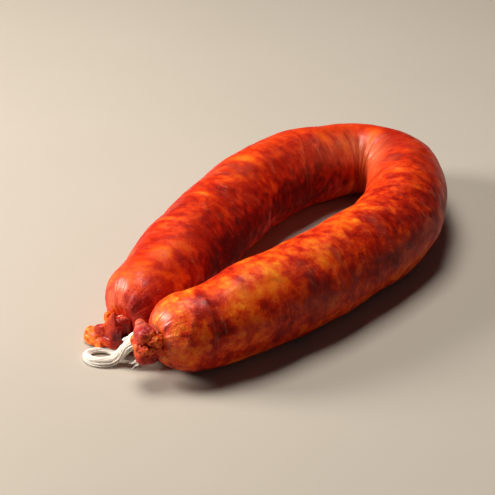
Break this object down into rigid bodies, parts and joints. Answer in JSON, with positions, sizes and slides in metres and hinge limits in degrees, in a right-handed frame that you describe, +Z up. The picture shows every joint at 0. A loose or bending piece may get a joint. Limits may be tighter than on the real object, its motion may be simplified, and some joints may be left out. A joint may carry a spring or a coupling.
{
  "type": "cured sausage",
  "caption": "Horseshoe-shaped cured sausage in natural casing, its gathered ends tied together with soft cotton twine.",
  "frame": {"origin": "on the surface it lies on, below the centre of the sausage's box", "axes": "+Z up; +Y along the horseshoe from the tied ends to the bend; the thicker-looking near leg is on +X"},
  "size_m": [0.1105, 0.2215, 0.038],
  "materials": {
    "casing": "semi-gloss natural casing, red-orange with amber fat showing through",
    "twine": "soft matt white cotton"
  },
  "bodies": {
    "root": {"sausage": "casing", "near_tie": "twine", "far_tie": "twine", "twine_loop": "twine", "twine_link": "twine", "twine_cut_end": "twine"}
  },
  "joints": []
}
